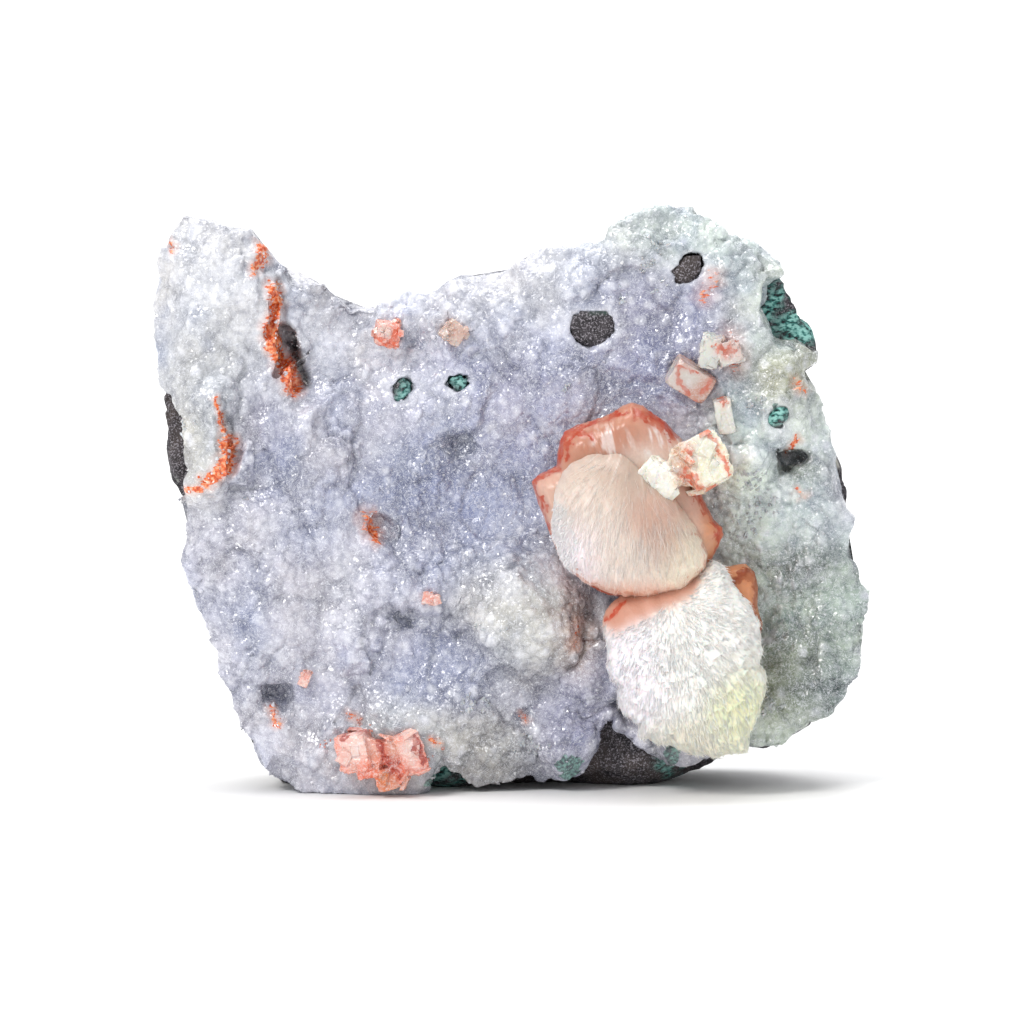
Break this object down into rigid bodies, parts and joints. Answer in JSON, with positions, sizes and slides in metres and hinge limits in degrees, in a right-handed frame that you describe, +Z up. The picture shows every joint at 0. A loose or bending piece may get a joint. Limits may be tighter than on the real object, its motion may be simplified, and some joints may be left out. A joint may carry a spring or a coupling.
{
  "type": "apophyllite specimen",
  "caption": "Upright rock specimen: pale drusy chalcedony crust on a basalt wedge, with stilbite fans, blocky apophyllite and orange heulandite crystals.",
  "frame": {"origin": "on the ground, under the middle of the specimen's bounding box", "axes": "+X to the right of the crystal face, +Y away from the viewer towards the broken back, +Z up"},
  "size_m": [0.115, 0.0504, 0.095],
  "materials": {
    "basalt": "dull black, finely pitted, with dark green celadonite near the crust",
    "chalcedony": "sparkling druse, pale lavender grey, whiter on the rims and greener at the right",
    "stilbite": "silky fibrous cream to peach, with an orange rim",
    "apophyllite": "glassy to frosty, faint yellow",
    "heulandite": "pearly faces, pink to red-orange",
    "peach_crystal": "glassy, clear to peach"
  },
  "bodies": {
    "root": {"basalt_matrix": "basalt", "chalcedony_crust": "chalcedony", "stilbite_fans": "stilbite", "apophyllite_crystals": "apophyllite", "heulandite_cluster": "heulandite", "peach_apophyllite": "peach_crystal", "pale_crystal_group": "apophyllite", "pale_crystal_blade": "apophyllite", "pink_crystal_upper": "heulandite", "peach_crystal_upper": "peach_crystal", "pink_crystal_middle": "heulandite", "pink_crystal_lower": "heulandite"}
  },
  "joints": []
}
